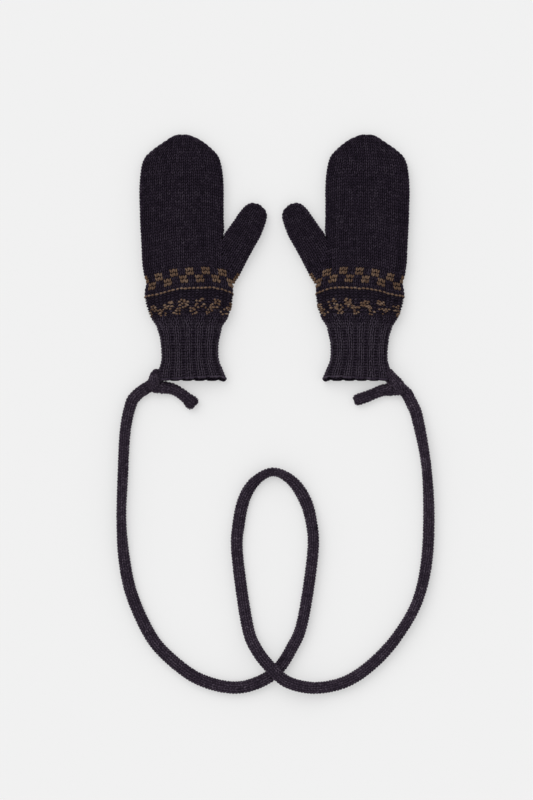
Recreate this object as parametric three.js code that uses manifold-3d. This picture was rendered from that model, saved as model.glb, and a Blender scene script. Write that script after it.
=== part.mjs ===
// Two knitted mittens lying flat, joined by one knitted cord that is knotted through each cuff.
// Millimetres, +Z up, the table is z = 0, the origin is under the middle of the two mittens.

import * as THREE from "three";
import { mergeVertices } from "three/addons/utils/BufferGeometryUtils.js";
import Module from "manifold-3d";

const wasm = await Module();
wasm.setup();

// Sizes of a mitten. Its own frame has x = 0 on the middle of the hand and grows towards the thumb,
// y = 0 where the ribbing ends and the hand begins, and y grows towards the finger tips.
const axisSpacing = 195.3;
const handLength = 204.8;
const handWidth = 89;
const handDepth = 18;
const thumbLength = 82;
const thumbWidth = 33.6;
const thumbDepth = 15.5;
const thumbLean = 29.8;
const wristWidth = 68.6;
const wristDepth = 16.5;
const wristLean = 0.008;
const cuffLength = 55;
const cuffWidth = 60.9;
const cuffDepth = 16.5;
const knitWall = 3;
const ribCount = 13;
const ribDepth = 1.3;
const hemScallop = 1;
const hemLag = 2.6;
const pieceGap = 0.3;

// Sizes of the cord: a knitted tube pressed flat, thinner where a knot squeezes it
const cordWidth = 13;
const cordDepth = 9;
const knotStrand = 7.6;
const tableGap = 0.2;
const humpReach = 62;
const humpFlat = 11;
const humpSpare = 1;

// Where one piece sits on another
const cuffCentre = 0.1 * handWidth;
const thumbRoot = { x: 0.443 * handWidth, y: 0.297 * handLength };
const ribTopY = (cuffLength - handLength) / 2;
const foldShare = 0.42;
const foldLimit = 0.9;
const domePower = 2.8;

// The hollow: narrower rows than this are left solid, and how it closes short of the finger tips
const narrowHollow = 6 * knitWall;
const tipWall = 1.4 * knitWall;
const tipShare = 0.45;
const rootReach = 0.12;

// The last stitches of a tail, as a share of its width
const tailCap = 0.36;

// How finely each piece is faceted
const handSides = 28;
const hollowSides = 20;
const thumbSides = 18;
const thumbHollowSides = 14;
const sectionSteps = 24;
const cuffSides = 4 * ribCount;
const cordSides = 10;
const cordSteps = 78;
const knotSides = 8;
const knotSteps = 13;
const tailSteps = 6;
const roomSteps = 8;

// Hand, as shares: at of handLength, left and right of handWidth, depth of handDepth
const handTable = [
  { at: 0.051, left: -0.359, right: 0.547, depth: 0.94 },
  { at: 0.113, left: -0.418, right: 0.594, depth: 0.98 },
  { at: 0.164, left: -0.438, right: 0.612, depth: 1 },
  { at: 0.205, left: -0.432, right: 0.612, depth: 0.98 },
  { at: 0.236, left: -0.418, right: 0.618, depth: 0.97 },
  { at: 0.272, left: -0.444, right: 0.626, depth: 1 },
  { at: 0.328, left: -0.465, right: 0.578, depth: 1 },
  { at: 0.42, left: -0.476, right: 0.524, depth: 0.98 },
  { at: 0.51, left: -0.488, right: 0.506, depth: 0.97 },
  { at: 0.62, left: -0.497, right: 0.5, depth: 0.95 },
  { at: 0.73, left: -0.5, right: 0.5, depth: 0.9 },
  { at: 0.8, left: -0.487, right: 0.488, depth: 0.85 },
  { at: 0.851, left: -0.465, right: 0.465, depth: 0.8 },
  { at: 0.885, left: -0.426, right: 0.438, depth: 0.75 },
  { at: 0.914, left: -0.359, right: 0.382, depth: 0.7 },
  { at: 0.944, left: -0.265, right: 0.306, depth: 0.64 },
  { at: 0.974, left: -0.162, right: 0.206, depth: 0.56 },
  { at: 0.99, left: -0.108, right: 0.132, depth: 0.5 },
  { at: 1, left: -0.045, right: 0.06, depth: 0.42 },
];

// Thumb, as shares: at of thumbLength, inner and outer of thumbWidth, depth of thumbDepth
const thumbTable = [
  { at: -0.13, inner: -0.5, outer: 0.61, depth: 0.86 },
  { at: 0.1, inner: -0.52, outer: 0.632, depth: 0.9 },
  { at: 0.32, inner: -0.5, outer: 0.61, depth: 0.97 },
  { at: 0.52, inner: -0.42, outer: 0.602, depth: 1 },
  { at: 0.64, inner: -0.39, outer: 0.6, depth: 0.98 },
  { at: 0.75, inner: -0.37, outer: 0.565, depth: 0.93 },
  { at: 0.84, inner: -0.34, outer: 0.52, depth: 0.86 },
  { at: 0.905, inner: -0.295, outer: 0.47, depth: 0.78 },
  { at: 0.95, inner: -0.22, outer: 0.39, depth: 0.7 },
  { at: 0.98, inner: -0.12, outer: 0.28, depth: 0.6 },
  { at: 1, inner: 0, outer: 0.13, depth: 0.48 },
];

// Cuff, as shares: at of cuffLength down from the hand, left and right of cuffWidth about the
// cuff's middle, depth of cuffDepth, rib of ribDepth, hem of hemScallop and hemLag
const cuffTable = [
  { at: 0.1, left: -0.54, right: 0.535, depth: 1, rib: 0.7, hem: 0 },
  { at: 0.25, left: -0.515, right: 0.505, depth: 1, rib: 1, hem: 0 },
  { at: 0.42, left: -0.5, right: 0.495, depth: 1, rib: 1, hem: 0 },
  { at: 0.62, left: -0.502, right: 0.512, depth: 1, rib: 1, hem: 0.1 },
  { at: 0.8, left: -0.55, right: 0.575, depth: 1, rib: 0.95, hem: 0.5 },
  { at: 1, left: -0.59, right: 0.645, depth: 1.02, rib: 0.8, hem: 1 },
];

// Each knot's strand, from the cord's end through the side fold of the cuff to the free tail, and
// the tail with the swell of its last stitches: out and down from the hem's outer corner, and up
// from the table
const knots = {
  left: {
    strand: [
      { out: 10.8, down: 7.8, up: 4.7 },
      { out: 4.5, down: 6, up: 5 },
      { out: -2.3, down: 2.3, up: 6.8 },
      { out: -6.4, down: -2.9, up: 8.2 },
      { out: -5.5, down: -8.2, up: 8.3 },
      { out: -0.7, down: -10.3, up: 9 },
      { out: 2.1, down: -7.1, up: 11.5 },
      { out: 4.5, down: -0.3, up: 14.6 },
      { out: 5.6, down: 6.5, up: 13.6 },
      { out: 2.9, down: 10.7, up: 8.5 },
      { out: -2.8, down: 10.2, up: 4.9 },
      { out: -9.1, down: 7.6, up: 4.9 },
    ],
    tail: [
      { out: -9.1, down: 7.6, up: 4.9 },
      { out: -17.5, down: 8.8, up: 4.8 },
      { out: -24.9, down: 12.3, up: 4.8 },
      { out: -32.2, down: 17.9, up: 4.8 },
      { out: -38.5, down: 23.6, up: 5.2 },
    ],
    swell: 1.24,
  },
  right: {
    strand: [
      { out: 14.5, down: 13.3, up: 4.7 },
      { out: 7.7, down: 8.6, up: 5 },
      { out: -0.7, down: 3.4, up: 6.8 },
      { out: -7, down: -3.5, up: 8.2 },
      { out: -7, down: -9, up: 8.3 },
      { out: -2.8, down: -11.6, up: 9 },
      { out: -1.4, down: -7.8, up: 11.5 },
      { out: 2.6, down: -1.6, up: 14.6 },
      { out: 8, down: 4.8, up: 13.8 },
      { out: 8.8, down: 10.7, up: 9.5 },
      { out: 2.9, down: 12.6, up: 5 },
      { out: -5.5, down: 10.7, up: 4.9 },
    ],
    tail: [
      { out: -5.5, down: 10.7, up: 4.9 },
      { out: -12.3, down: 9.8, up: 4.8 },
      { out: -20.2, down: 13.4, up: 4.8 },
      { out: -29.1, down: 17, up: 4.8 },
      { out: -37.5, down: 19.8, up: 4.8 },
    ],
    swell: 1,
  },
};
const loopTurn = 5;

// The cord's way over the table from the left knot to the right one, x and y in the part's frame.
// It crosses itself once, and the second pass lies on top.
const cordCrossing = [1, -435.5];
const cordRoute = [
  [-144.6, -144.6], [-151, -154.5], [-157, -183.5], [-159.6, -233.9], [-160.9, -276],
  [-158, -317], [-149.6, -356], [-129.7, -398.8], [-107.6, -423.5], [-80.3, -442.8],
  [-48.8, -451.8], [-23.6, -449.2],
  cordCrossing,
  [18.4, -410.3], [29.9, -380.9], [40.4, -309.5], [38.3, -275.9], [31, -252.8],
  [17.3, -233.9], [-1.6, -225.5], [-19.4, -234.4], [-31.5, -252.8], [-37.8, -281.1],
  [-39.1, -312.6], [-28.9, -385.1], [-18.4, -412.4],
  cordCrossing,
  [17.3, -447], [45.7, -452.3], [77.2, -444.9], [106.6, -423.9], [131.8, -394.5], [150.7, -359.9],
  [160.1, -317.9], [162.2, -265.4], [159.1, -216], [150.2, -168.8], [144.2, -153.2],
];

const wool = { dark: 0x2b2630, cord: 0x332c37 };
const woolRoughness = 0.95;

// Geometry helpers

// A solid from a closed geometry, with its faces pointing outwards
function solidOf(geometry) {
  const bare = geometry.clone();
  bare.deleteAttribute("normal");
  bare.deleteAttribute("uv");
  const merged = mergeVertices(bare, 1e-4);
  const corners = Float32Array.from(merged.attributes.position.array);
  const triangles = Uint32Array.from(merged.index.array);
  if (signedVolume(corners, triangles) < 0) flip(triangles);
  return new wasm.Manifold(new wasm.Mesh({ numProp: 3, vertProperties: corners, triVerts: triangles }));
}

function signedVolume(corners, triangles) {
  let volume = 0;
  const [a, b, c] = [new THREE.Vector3(), new THREE.Vector3(), new THREE.Vector3()];
  for (let i = 0; i < triangles.length; i += 3) {
    a.fromArray(corners, 3 * triangles[i]);
    b.fromArray(corners, 3 * triangles[i + 1]);
    c.fromArray(corners, 3 * triangles[i + 2]);
    volume += a.dot(b.cross(c)) / 6;
  }
  return volume;
}

function flip(triangles) {
  for (let i = 0; i < triangles.length; i += 3) {
    [triangles[i], triangles[i + 1]] = [triangles[i + 1], triangles[i]];
  }
}

// The geometry of a solid; side -1 mirrors it across x = 0 for the other mitten
function geometryOf(solid, side) {
  const mesh = solid.getMesh();
  const corners = Float32Array.from(mesh.vertProperties);
  const triangles = Uint32Array.from(mesh.triVerts);
  if (side < 0) {
    for (let i = 0; i < corners.length; i += 3) corners[i] *= -1;
    flip(triangles);
  }
  const geometry = new THREE.BufferGeometry();
  geometry.setAttribute("position", new THREE.BufferAttribute(corners, 3));
  geometry.setIndex(new THREE.BufferAttribute(triangles, 1));
  geometry.computeVertexNormals();
  return geometry;
}

// A closed body through rings of points, each ring with the same number of points
function loft(rings) {
  const sides = rings[0].length;
  const corners = [];
  const triangles = [];
  for (const ring of rings) {
    for (const point of ring) corners.push(point.x, point.y, point.z);
  }
  for (let row = 0; row + 1 < rings.length; row += 1) {
    for (let i = 0; i < sides; i += 1) {
      const a = row * sides + i;
      const b = row * sides + ((i + 1) % sides);
      triangles.push(a, b, b + sides, a, b + sides, a + sides);
    }
  }
  for (const [row, turn] of [[0, 1], [rings.length - 1, -1]]) {
    const middle = new THREE.Vector3();
    for (const point of rings[row]) middle.addScaledVector(point, 1 / sides);
    const hub = corners.length / 3;
    corners.push(middle.x, middle.y, middle.z);
    for (let i = 0; i < sides; i += 1) {
      const a = row * sides + i;
      const b = row * sides + ((i + 1) % sides);
      triangles.push(hub, turn > 0 ? b : a, turn > 0 ? a : b);
    }
  }
  const geometry = new THREE.BufferGeometry();
  geometry.setAttribute("position", new THREE.Float32BufferAttribute(corners, 3));
  geometry.setIndex(triangles);
  return geometry;
}

// Points spaced evenly along a chain of [across, up] pairs, without the last one
function evenly(chain, count) {
  const reach = [0];
  for (let i = 1; i < chain.length; i += 1) {
    const step = Math.hypot(chain[i][0] - chain[i - 1][0], chain[i][1] - chain[i - 1][1]);
    reach.push(reach[i - 1] + step);
  }
  const points = [];
  let seat = 1;
  for (let k = 0; k < count; k += 1) {
    const goal = (reach[reach.length - 1] * k) / count;
    while (seat < chain.length - 1 && reach[seat] < goal) seat += 1;
    const share = (goal - reach[seat - 1]) / (reach[seat] - reach[seat - 1]);
    points.push([
      THREE.MathUtils.lerp(chain[seat - 1][0], chain[seat][0], share),
      THREE.MathUtils.lerp(chain[seat - 1][1], chain[seat][1], share),
    ]);
  }
  return points;
}

// Section of a knitted tube lying flat: a gently domed upper layer from the left fold to the right
// one, then a lower layer that is flat on the table between two round folds. A positive inset
// gives the hollow inside a wall of that thickness, a negative one the room for a neighbour.
function flatSection(left, right, depth, sides, inset) {
  const low = inset;
  const height = depth - 2 * inset;
  const middle = (left + right) / 2;
  const half = (right - left) / 2 - inset;
  const fold = Math.min(foldShare * height, foldLimit * half);
  const upper = [];
  for (let i = 0; i <= sectionSteps; i += 1) {
    const angle = (Math.PI * i) / sectionSteps;
    const across = Math.sign(Math.cos(angle)) * Math.abs(Math.cos(angle)) ** (2 / domePower);
    const rise = Math.sin(angle) ** (2 / domePower);
    upper.push([middle - half * across, low + fold + (height - fold) * rise]);
  }
  const corners = [middle + half - fold, middle - half + fold];
  const lower = corners.flatMap((corner, side) => foldArc(corner, low + fold, fold, side));
  return [...evenly(upper, sides / 2), ...evenly(lower, sides / 2)];
}

// Quarter of a round fold: side 0 runs down from its outermost point, side 1 up to it
function foldArc(x, z, radius, side) {
  const arc = [];
  for (let i = 0; i <= sectionSteps / 2; i += 1) {
    const angle = Math.PI * (i / sectionSteps + side / 2);
    arc.push([x + radius * Math.cos(angle), z - radius * Math.sin(angle)]);
  }
  return arc;
}

// Sizes of a mitten at its wrist, which the hand and the cuff share
const wrist = {
  left: cuffCentre - (0.5 + wristLean) * wristWidth,
  right: cuffCentre + (0.5 - wristLean) * wristWidth,
  depth: wristDepth,
};

// Hand

function handRows() {
  const rows = [{ y: pieceGap / 2, ...wrist }];
  for (const row of handTable) {
    rows.push({
      y: row.at * handLength,
      left: row.left * handWidth,
      right: row.right * handWidth,
      depth: row.depth * handDepth,
    });
  }
  return rows;
}

function ringAcross(row, sides, inset) {
  const section = flatSection(row.left, row.right, row.depth, sides, inset);
  return section.map(([x, z]) => new THREE.Vector3(x, row.y, z));
}

function handOutside(inset) {
  return solidOf(loft(handRows().map((row) => ringAcross(row, handSides, inset))));
}

// The hollow stops a wall short of the tip and runs out past the wrist
function handHollow() {
  const rows = handRows().filter((row) => row.right - row.left > narrowHollow);
  const mouth = { ...rows[0], y: -knitWall };
  const end = rows[rows.length - 1];
  const tip = { ...end, y: handLength - tipWall, left: tipShare * end.left, right: tipShare * end.right };
  const inside = rows.filter((row, i) => i % 2 === 0);
  return solidOf(loft([mouth, ...inside, tip].map((row) => ringAcross(row, hollowSides, knitWall))));
}

// Thumb

const thumbAxis = new THREE.Vector3(
  Math.sin(THREE.MathUtils.degToRad(thumbLean)),
  Math.cos(THREE.MathUtils.degToRad(thumbLean)),
  0,
);
const thumbAcross = new THREE.Vector3(thumbAxis.y, -thumbAxis.x, 0);

function thumbRing(row, sides, inset, along) {
  const [from, to] = [row.inner * thumbWidth, row.outer * thumbWidth];
  const section = flatSection(from, to, row.depth * thumbDepth, sides, inset);
  return section.map(([across, z]) => new THREE.Vector3(thumbRoot.x, thumbRoot.y, z)
    .addScaledVector(thumbAxis, along)
    .addScaledVector(thumbAcross, across));
}

function thumbOutside() {
  return solidOf(loft(thumbTable.map((row) => thumbRing(row, thumbSides, 0, row.at * thumbLength))));
}

function thumbHollow() {
  const rows = thumbTable.filter((row) => (row.outer - row.inner) * thumbWidth > narrowHollow);
  const reach = [rows[0].at - rootReach, ...rows.map((row) => row.at)];
  const rings = [rows[0], ...rows].map((row, i) => (
    thumbRing(row, thumbHollowSides, knitWall, reach[i] * thumbLength)));
  return solidOf(loft(rings));
}

// Cuff

function cuffRows() {
  const rows = [{ y: -pieceGap / 2, ...wrist, rib: 0, hem: 0 }];
  for (const row of cuffTable) {
    rows.push({
      y: -row.at * cuffLength,
      left: cuffCentre + row.left * cuffWidth,
      right: cuffCentre + row.right * cuffWidth,
      depth: row.depth * cuffDepth,
      rib: row.rib * ribDepth,
      hem: row.hem,
    });
  }
  return rows;
}

// Every second pair of points is a pair of purl stitches, sunk between two ribs
function cuffRing(row) {
  const section = flatSection(row.left, row.right, row.depth, cuffSides, 0);
  return section.map(([x, z], i) => {
    const before = section[(i + cuffSides - 1) % cuffSides];
    const after = section[(i + 1) % cuffSides];
    const along = new THREE.Vector2(after[0] - before[0], after[1] - before[1]).normalize();
    const sunk = i % 4 > 1 ? row.rib : 0;
    const share = (x - row.left) / (row.right - row.left);
    const scallop = row.hem * hemScallop * (i % 4 > 1 ? 1 : 0);
    const lag = row.hem * hemLag * share * (z / row.depth);
    return new THREE.Vector3(x + sunk * along.y, row.y + scallop + lag, z - sunk * along.x);
  });
}

function cuffSolid() {
  const rows = cuffRows();
  const outside = solidOf(loft(rows.map((row) => cuffRing(row))));
  const above = { ...rows[0], y: knitWall };
  const below = { ...rows[rows.length - 1], y: -cuffLength - 2 * knitWall };
  const inside = [above, ...rows.slice(1, -1), below];
  const hollow = solidOf(loft(inside.map((row) => ringAcross(row, hollowSides, knitWall))));
  return outside.subtract(hollow);
}

// Cord, knots and tails

const hem = cuffRows()[cuffRows().length - 1];

function fromHemCorner(point) {
  return new THREE.Vector3(hem.left - point.out, hem.y - point.down, point.up);
}

function tube(curve, width, depth, sides, steps) {
  const section = new THREE.Shape();
  for (let i = 0; i < sides; i += 1) {
    const angle = (2 * Math.PI * i) / sides;
    const x = (depth / 2) * Math.cos(angle);
    const y = (width / 2) * Math.sin(angle);
    if (i === 0) section.moveTo(x, y);
    else section.lineTo(x, y);
  }
  return new THREE.ExtrudeGeometry(section, { steps, extrudePath: curve, bevelEnabled: false });
}

function strand(points, width, depth, sides, steps) {
  return solidOf(tube(new THREE.CatmullRomCurve3(points), width, depth, sides, steps));
}

// The knot is two runs of one strand: in through the fold, and back over and under itself
function knotSolid(knot, spare) {
  const points = knot.strand.map(fromHemCorner);
  const thick = knotStrand + 2 * spare;
  const inward = strand(points.slice(0, loopTurn + 2), thick, thick, knotSides, knotSteps);
  const around = strand(points.slice(loopTurn), thick, thick, knotSides, knotSteps);
  return inward.add(around);
}

function tailSolid(knot, spare) {
  const points = knot.tail.map(fromHemCorner);
  const width = cordWidth + 2 * spare;
  const depth = cordDepth + 2 * spare;
  const run = strand(points, width, depth, cordSides, tailSteps);
  const end = points[points.length - 1];
  const heading = end.clone().sub(points[points.length - 2]);
  const cap = new THREE.SphereGeometry(1, cordSides, 6);
  cap.scale(tailCap * width, 0.5 * knot.swell * width, 0.5 * knot.swell * depth);
  cap.rotateZ(Math.atan2(heading.y, heading.x));
  cap.translate(end.x, end.y, Math.max(end.z, 0.5 * knot.swell * depth + tableGap));
  return run.add(solidOf(cap));
}

// The cord lies on the table and passes over itself in a long low hump
class LaidCord extends THREE.Curve {
  constructor(points) {
    super();
    this.plan = new THREE.CatmullRomCurve3(points, false, "catmullrom", 0.5);
    this.crossing = new THREE.Vector2(...cordCrossing);
  }

  getPoint(t, target = new THREE.Vector3()) {
    this.plan.getPoint(t, target);
    const away = this.crossing.distanceTo(new THREE.Vector2(target.x, target.y));
    const share = THREE.MathUtils.clamp((away - humpFlat) / (humpReach - humpFlat), 0, 1);
    const lift = 0.5 + 0.5 * Math.cos(Math.PI * share);
    if (t > 0.5) target.z += (cordDepth + humpSpare) * lift;
    return target;
  }
}

function cordEnd(name, side) {
  const point = fromHemCorner(knots[name].strand[0]);
  return new THREE.Vector3(side * (point.x - axisSpacing / 2), point.y + ribTopY, cordDepth / 2 + tableGap);
}

function cordCurve() {
  const laid = cordRoute.map(([x, y]) => new THREE.Vector3(x, y, cordDepth / 2 + tableGap));
  return new LaidCord([cordEnd("left", 1), ...laid, cordEnd("right", -1)]);
}

// What the end of the cord takes up in the frame of one mitten
function cordRoom(knot, side) {
  const laid = side > 0 ? cordRoute : [...cordRoute].reverse();
  const run = laid.slice(0, 2).map(([x, y]) => new THREE.Vector3(
    side * x + axisSpacing / 2,
    y - ribTopY,
    cordDepth / 2 + tableGap,
  ));
  const end = fromHemCorner(knot.strand[0]);
  end.z = cordDepth / 2 + tableGap;
  const ahead = end.clone().sub(run[0]).setLength(pieceGap).add(end);
  const wide = cordWidth + 2 * pieceGap;
  return strand([ahead, end, ...run], wide, cordDepth + 2 * pieceGap, cordSides, roomSteps);
}

// Scene graph

function mesh(name, geometry, color) {
  const material = new THREE.MeshStandardMaterial({ color, roughness: woolRoughness, metalness: 0 });
  const piece = new THREE.Mesh(geometry, material);
  piece.name = name;
  return piece;
}

// side is 1 for the left mitten, whose thumb points to +x, and -1 for its mirror image
function mitten(name, side) {
  const tied = knots[name];
  const thumbInside = thumbHollow();
  const hand = handOutside(0).subtract(handHollow()).subtract(thumbInside);
  const thumb = thumbOutside().subtract(handOutside(-pieceGap)).subtract(thumbInside);
  const cuff = cuffSolid().subtract(knotSolid(tied, pieceGap));
  const knot = knotSolid(tied, 0).subtract(cordRoom(tied, side)).subtract(tailSolid(tied, pieceGap));
  const group = new THREE.Group();
  group.add(mesh(`${name}_hand`, geometryOf(hand, side), wool.dark));
  group.add(mesh(`${name}_thumb`, geometryOf(thumb, side), wool.dark));
  group.add(mesh(`${name}_cuff`, geometryOf(cuff, side), wool.dark));
  group.add(mesh(`${name}_knot`, geometryOf(knot, side), wool.cord));
  group.add(mesh(`${name}_tail`, geometryOf(tailSolid(tied, 0), side), wool.cord));
  group.position.set((-side * axisSpacing) / 2, ribTopY, 0);
  return group;
}

const pair = new THREE.Group();
pair.add(mitten("left", 1));
pair.add(mitten("right", -1));
const cordBody = solidOf(tube(cordCurve(), cordWidth, cordDepth, cordSides, cordSteps));
pair.add(mesh("cord", geometryOf(cordBody, 1), wool.cord));

export default pair;
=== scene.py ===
# Two knitted mittens and the knitted cord that ties them together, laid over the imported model.
# Metres, +Z up. They lie flat on a pale table, and the camera looks straight down on them.
import math

import bpy
import numpy as np
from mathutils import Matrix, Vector


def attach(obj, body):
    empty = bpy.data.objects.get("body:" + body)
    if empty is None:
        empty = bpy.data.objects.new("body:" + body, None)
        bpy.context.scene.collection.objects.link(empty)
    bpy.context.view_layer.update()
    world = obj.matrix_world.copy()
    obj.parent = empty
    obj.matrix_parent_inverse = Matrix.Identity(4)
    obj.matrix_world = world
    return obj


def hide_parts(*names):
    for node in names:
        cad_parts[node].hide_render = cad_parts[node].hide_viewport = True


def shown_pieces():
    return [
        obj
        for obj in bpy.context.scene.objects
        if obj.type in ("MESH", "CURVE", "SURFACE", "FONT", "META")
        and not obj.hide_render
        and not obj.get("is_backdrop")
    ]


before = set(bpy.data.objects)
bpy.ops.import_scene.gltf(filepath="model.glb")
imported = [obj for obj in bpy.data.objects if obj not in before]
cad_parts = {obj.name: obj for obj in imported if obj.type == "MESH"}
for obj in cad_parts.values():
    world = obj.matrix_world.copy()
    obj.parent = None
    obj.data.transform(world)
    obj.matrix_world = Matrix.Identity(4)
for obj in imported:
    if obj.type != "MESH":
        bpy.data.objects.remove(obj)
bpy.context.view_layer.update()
mm = 0.001

# Camera
camera = {"height": 3.0, "seenHeight": 0.84, "middleX": -0.0084, "middleY": -0.1499, "workHeight": 0.009}
bpy.ops.object.camera_add(location=(camera["middleX"], camera["middleY"], camera["height"]), rotation=(0, 0, 0))
lookDown = bpy.context.object
lookDown.name = "lookDown"
lookDown.data.sensor_width = 36
lookDown.data.lens = 36 * (camera["height"] - camera["workHeight"]) / camera["seenHeight"]
bpy.context.scene.camera = lookDown
print("camera set")


# Helpers for curves and tables


def smoothAt(places, values, at):
    # an even curve through the rows of a table
    places = np.asarray(places, float)
    values = np.asarray(values, float)
    slopes = np.gradient(values, places)
    seat = np.clip(np.searchsorted(places, at, side="right") - 1, 0, len(places) - 2)
    width = places[seat + 1] - places[seat]
    share = np.clip((at - places[seat]) / width, 0, 1)
    rise = values[seat + 1] - values[seat]
    bend = slopes[seat] * width * (share - 2 * share**2 + share**3)
    bend += slopes[seat + 1] * width * (share**3 - share**2)
    return values[seat] + rise * (3 * share**2 - 2 * share**3) + bend


def catmullPoints(points, perStep):
    # the same curve through listed points as the model's own cords take
    points = np.asarray(points, float)
    before = 2 * points[0] - points[1]
    after = 2 * points[-1] - points[-2]
    ends = np.vstack([before, points, after])
    made = []
    for i in range(1, len(ends) - 2):
        share = np.arange(perStep)[:, None] / perStep
        slopeIn = 0.5 * (ends[i + 1] - ends[i - 1])
        slopeOut = 0.5 * (ends[i + 2] - ends[i])
        step = ends[i] + slopeIn * share
        step = step + (3 * (ends[i + 1] - ends[i]) - 2 * slopeIn - slopeOut) * share**2
        step = step + (2 * (ends[i] - ends[i + 1]) + slopeIn + slopeOut) * share**3
        made.append(step)
    made.append(ends[-2][None])
    return np.vstack(made)


def lengthAlong(points):
    steps = np.linalg.norm(np.diff(points, axis=0), axis=1)
    return np.concatenate([[0], np.cumsum(steps)])


def evenlySpaced(chain, count):
    # count + 1 points spaced evenly along a chain
    reach = lengthAlong(chain)
    goals = np.linspace(0, reach[-1], count + 1)
    return np.stack([np.interp(goals, reach, column) for column in chain.T], axis=1)


# Forms: a grid of points that a knitted layer is wrapped on, and its outward direction


def formOf(points):
    alongStep = np.gradient(points, axis=0)
    ring = np.concatenate([points[:, -2:-1], points, points[:, 1:2]], axis=1)
    aroundStep = ring[:, 2:] - ring[:, :-2]
    outward = np.cross(aroundStep, alongStep)
    outward /= np.maximum(np.linalg.norm(outward, axis=2, keepdims=True), 1e-9)
    return {"points": points, "outward": outward}


def onForm(form, along, around, lift):
    points = form["points"]
    rows = points.shape[0] - 1
    sides = points.shape[1] - 1
    v = np.clip(along, 0, 1) * rows
    s = (around % 1) * sides
    i = np.minimum(v.astype(int), rows - 1)
    j = np.minimum(s.astype(int), sides - 1)
    a = (v - i)[..., None]
    b = (s - j)[..., None]

    def mixed(grid):
        low = grid[i, j] * (1 - b) + grid[i, j + 1] * b
        high = grid[i + 1, j] * (1 - b) + grid[i + 1, j + 1] * b
        return low * (1 - a) + high * a

    return mixed(points) + lift[..., None] * mixed(form["outward"])


def flatSection(left, right, depth, low, sides):
    # a knitted tube lying flat: domed above, flat on the table below, round at both folds
    half = (right - left) / 2
    middle = (left + right) / 2
    fold = min(fabric["foldShare"] * depth, 0.9 * half)
    angle = np.linspace(0, np.pi, 73)
    cosine = np.cos(angle)
    power = 2 / fabric["domePower"]
    upper = np.stack([
        middle - half * np.sign(cosine) * np.abs(cosine) ** power,
        low + fold + (depth - fold) * np.abs(np.sin(angle)) ** power,
    ], axis=1)
    quarter = np.linspace(0, np.pi / 2, 13)
    rightArc = np.stack([middle + half - fold + fold * np.cos(quarter), low + fold - fold * np.sin(quarter)], axis=1)
    leftArc = np.stack([middle - half + fold - fold * np.sin(quarter), low + fold - fold * np.cos(quarter)], axis=1)
    lower = np.vstack([rightArc, leftArc])
    ring = np.vstack([evenlySpaced(upper, sides // 2)[:-1], evenlySpaced(lower, sides // 2)])
    return ring, lengthAlong(upper)[-1]


# Fabric

fabric = {
    "foldShare": 0.42,
    "domePower": 2.8,
    "rowHeight": 3.05,
    "ribRepeats": 13,
    "wallDepth": 1.6,
    "wallThickness": 0.9,
    "unevenLift": 0.22,
    "endShare": 0.25,
    "knitShare": 0.86,
    "rowStreak": 0.1,
    "waleStreak": 0.18,
    "stitchTone": 0.4,
}
chance = np.random.default_rng(11)

# One leg of a stitch, and one bump of a purl stitch, ring by ring: at up the row in rows, out
# across the wale in wales, lift from the form in mm, wide in wales and thick in mm
legRings = [
    {"at": -0.54, "out": 0.11, "lift": -1.5, "wide": 0.12, "thick": 0.5},
    {"at": -0.24, "out": 0.18, "lift": -1.05, "wide": 0.2, "thick": 0.8},
    {"at": 0.08, "out": 0.25, "lift": -0.9, "wide": 0.22, "thick": 0.88},
    {"at": 0.4, "out": 0.3, "lift": -1.05, "wide": 0.2, "thick": 0.8},
    {"at": 0.7, "out": 0.34, "lift": -1.5, "wide": 0.12, "thick": 0.5},
]
# The leg of a ribbed stitch, pulled long, and the leg of a plump brown one
longRings = [
    {"at": -0.56, "out": 0.14, "lift": -1.5, "wide": 0.12, "thick": 0.5},
    {"at": -0.2, "out": 0.21, "lift": -1.0, "wide": 0.2, "thick": 0.85},
    {"at": 0.12, "out": 0.25, "lift": -0.85, "wide": 0.22, "thick": 0.95},
    {"at": 0.44, "out": 0.29, "lift": -1.0, "wide": 0.2, "thick": 0.85},
    {"at": 0.76, "out": 0.33, "lift": -1.5, "wide": 0.12, "thick": 0.5},
]
plumpRings = [
    {"at": -0.5, "out": 0.12, "lift": -1.5, "wide": 0.14, "thick": 0.5},
    {"at": -0.26, "out": 0.19, "lift": -0.75, "wide": 0.28, "thick": 0.8},
    {"at": 0.04, "out": 0.25, "lift": -0.55, "wide": 0.32, "thick": 0.9},
    {"at": 0.34, "out": 0.3, "lift": -0.75, "wide": 0.28, "thick": 0.8},
    {"at": 0.58, "out": 0.34, "lift": -1.5, "wide": 0.14, "thick": 0.5},
]


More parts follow.
